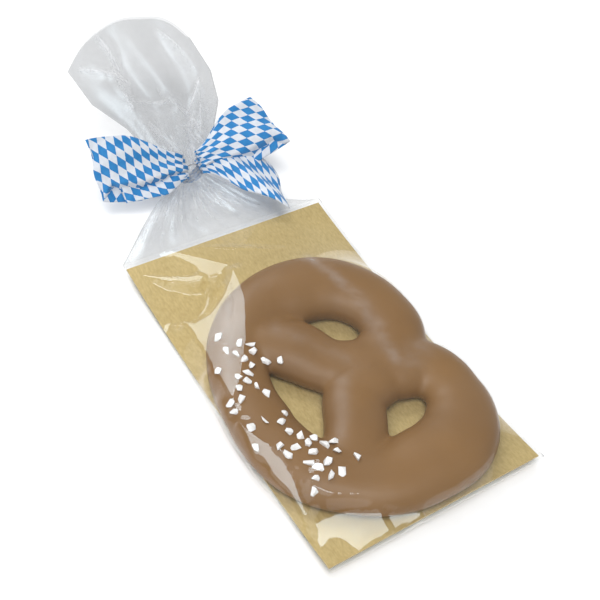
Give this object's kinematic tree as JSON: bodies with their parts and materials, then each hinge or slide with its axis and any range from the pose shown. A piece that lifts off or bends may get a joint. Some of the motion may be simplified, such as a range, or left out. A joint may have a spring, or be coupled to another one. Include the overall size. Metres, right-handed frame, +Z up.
{
  "type": "gingerbread pretzel",
  "caption": "Chocolate-coated gingerbread pretzel with coarse sugar, on a gold card in a clear gift bag tied with a lozenge-patterned ribbon.",
  "frame": {"origin": "middle of the pack's outline seen from above, at the level of the surface it lies on", "axes": "+Y runs along the card from the bag's closed end to its tied neck, +Z points up out of the side that shows"},
  "size_m": [0.1389, 0.3648, 0.0604],
  "materials": {
    "chocolate": "satin",
    "gold_card": "satin",
    "clear_film": "gloss",
    "ribbon_cloth": "satin"
  },
  "bodies": {
    "root": {"pretzel": "chocolate", "card": "gold_card", "bag": "clear_film", "ribbon": "ribbon_cloth"}
  },
  "joints": []
}
